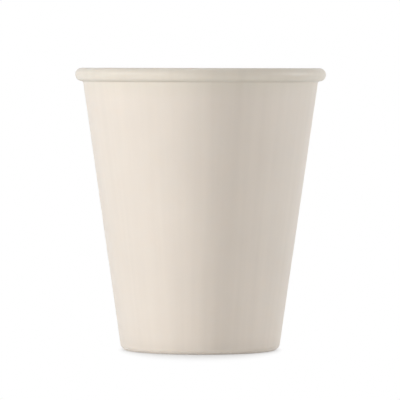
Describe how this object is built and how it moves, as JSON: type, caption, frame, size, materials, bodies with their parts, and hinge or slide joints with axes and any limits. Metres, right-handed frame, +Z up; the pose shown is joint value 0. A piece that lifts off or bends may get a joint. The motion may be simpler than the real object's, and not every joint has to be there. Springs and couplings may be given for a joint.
{
  "type": "reusable cup",
  "caption": "Tapered drinking cup moulded as one shell, with a full round rim bead, a rounded base corner and a recessed foot.",
  "frame": {"origin": "middle of the foot, on the surface the cup stands on", "axes": "+Z up along the cup's own axis, from the foot to the rim; X and Y are free, because the cup is round"},
  "size_m": [0.08, 0.08, 0.09],
  "materials": {
    "cup_shell": "warm beige through-coloured plastic, fine matte mould texture"
  },
  "bodies": {
    "root": {"cup": "cup_shell"}
  },
  "joints": []
}
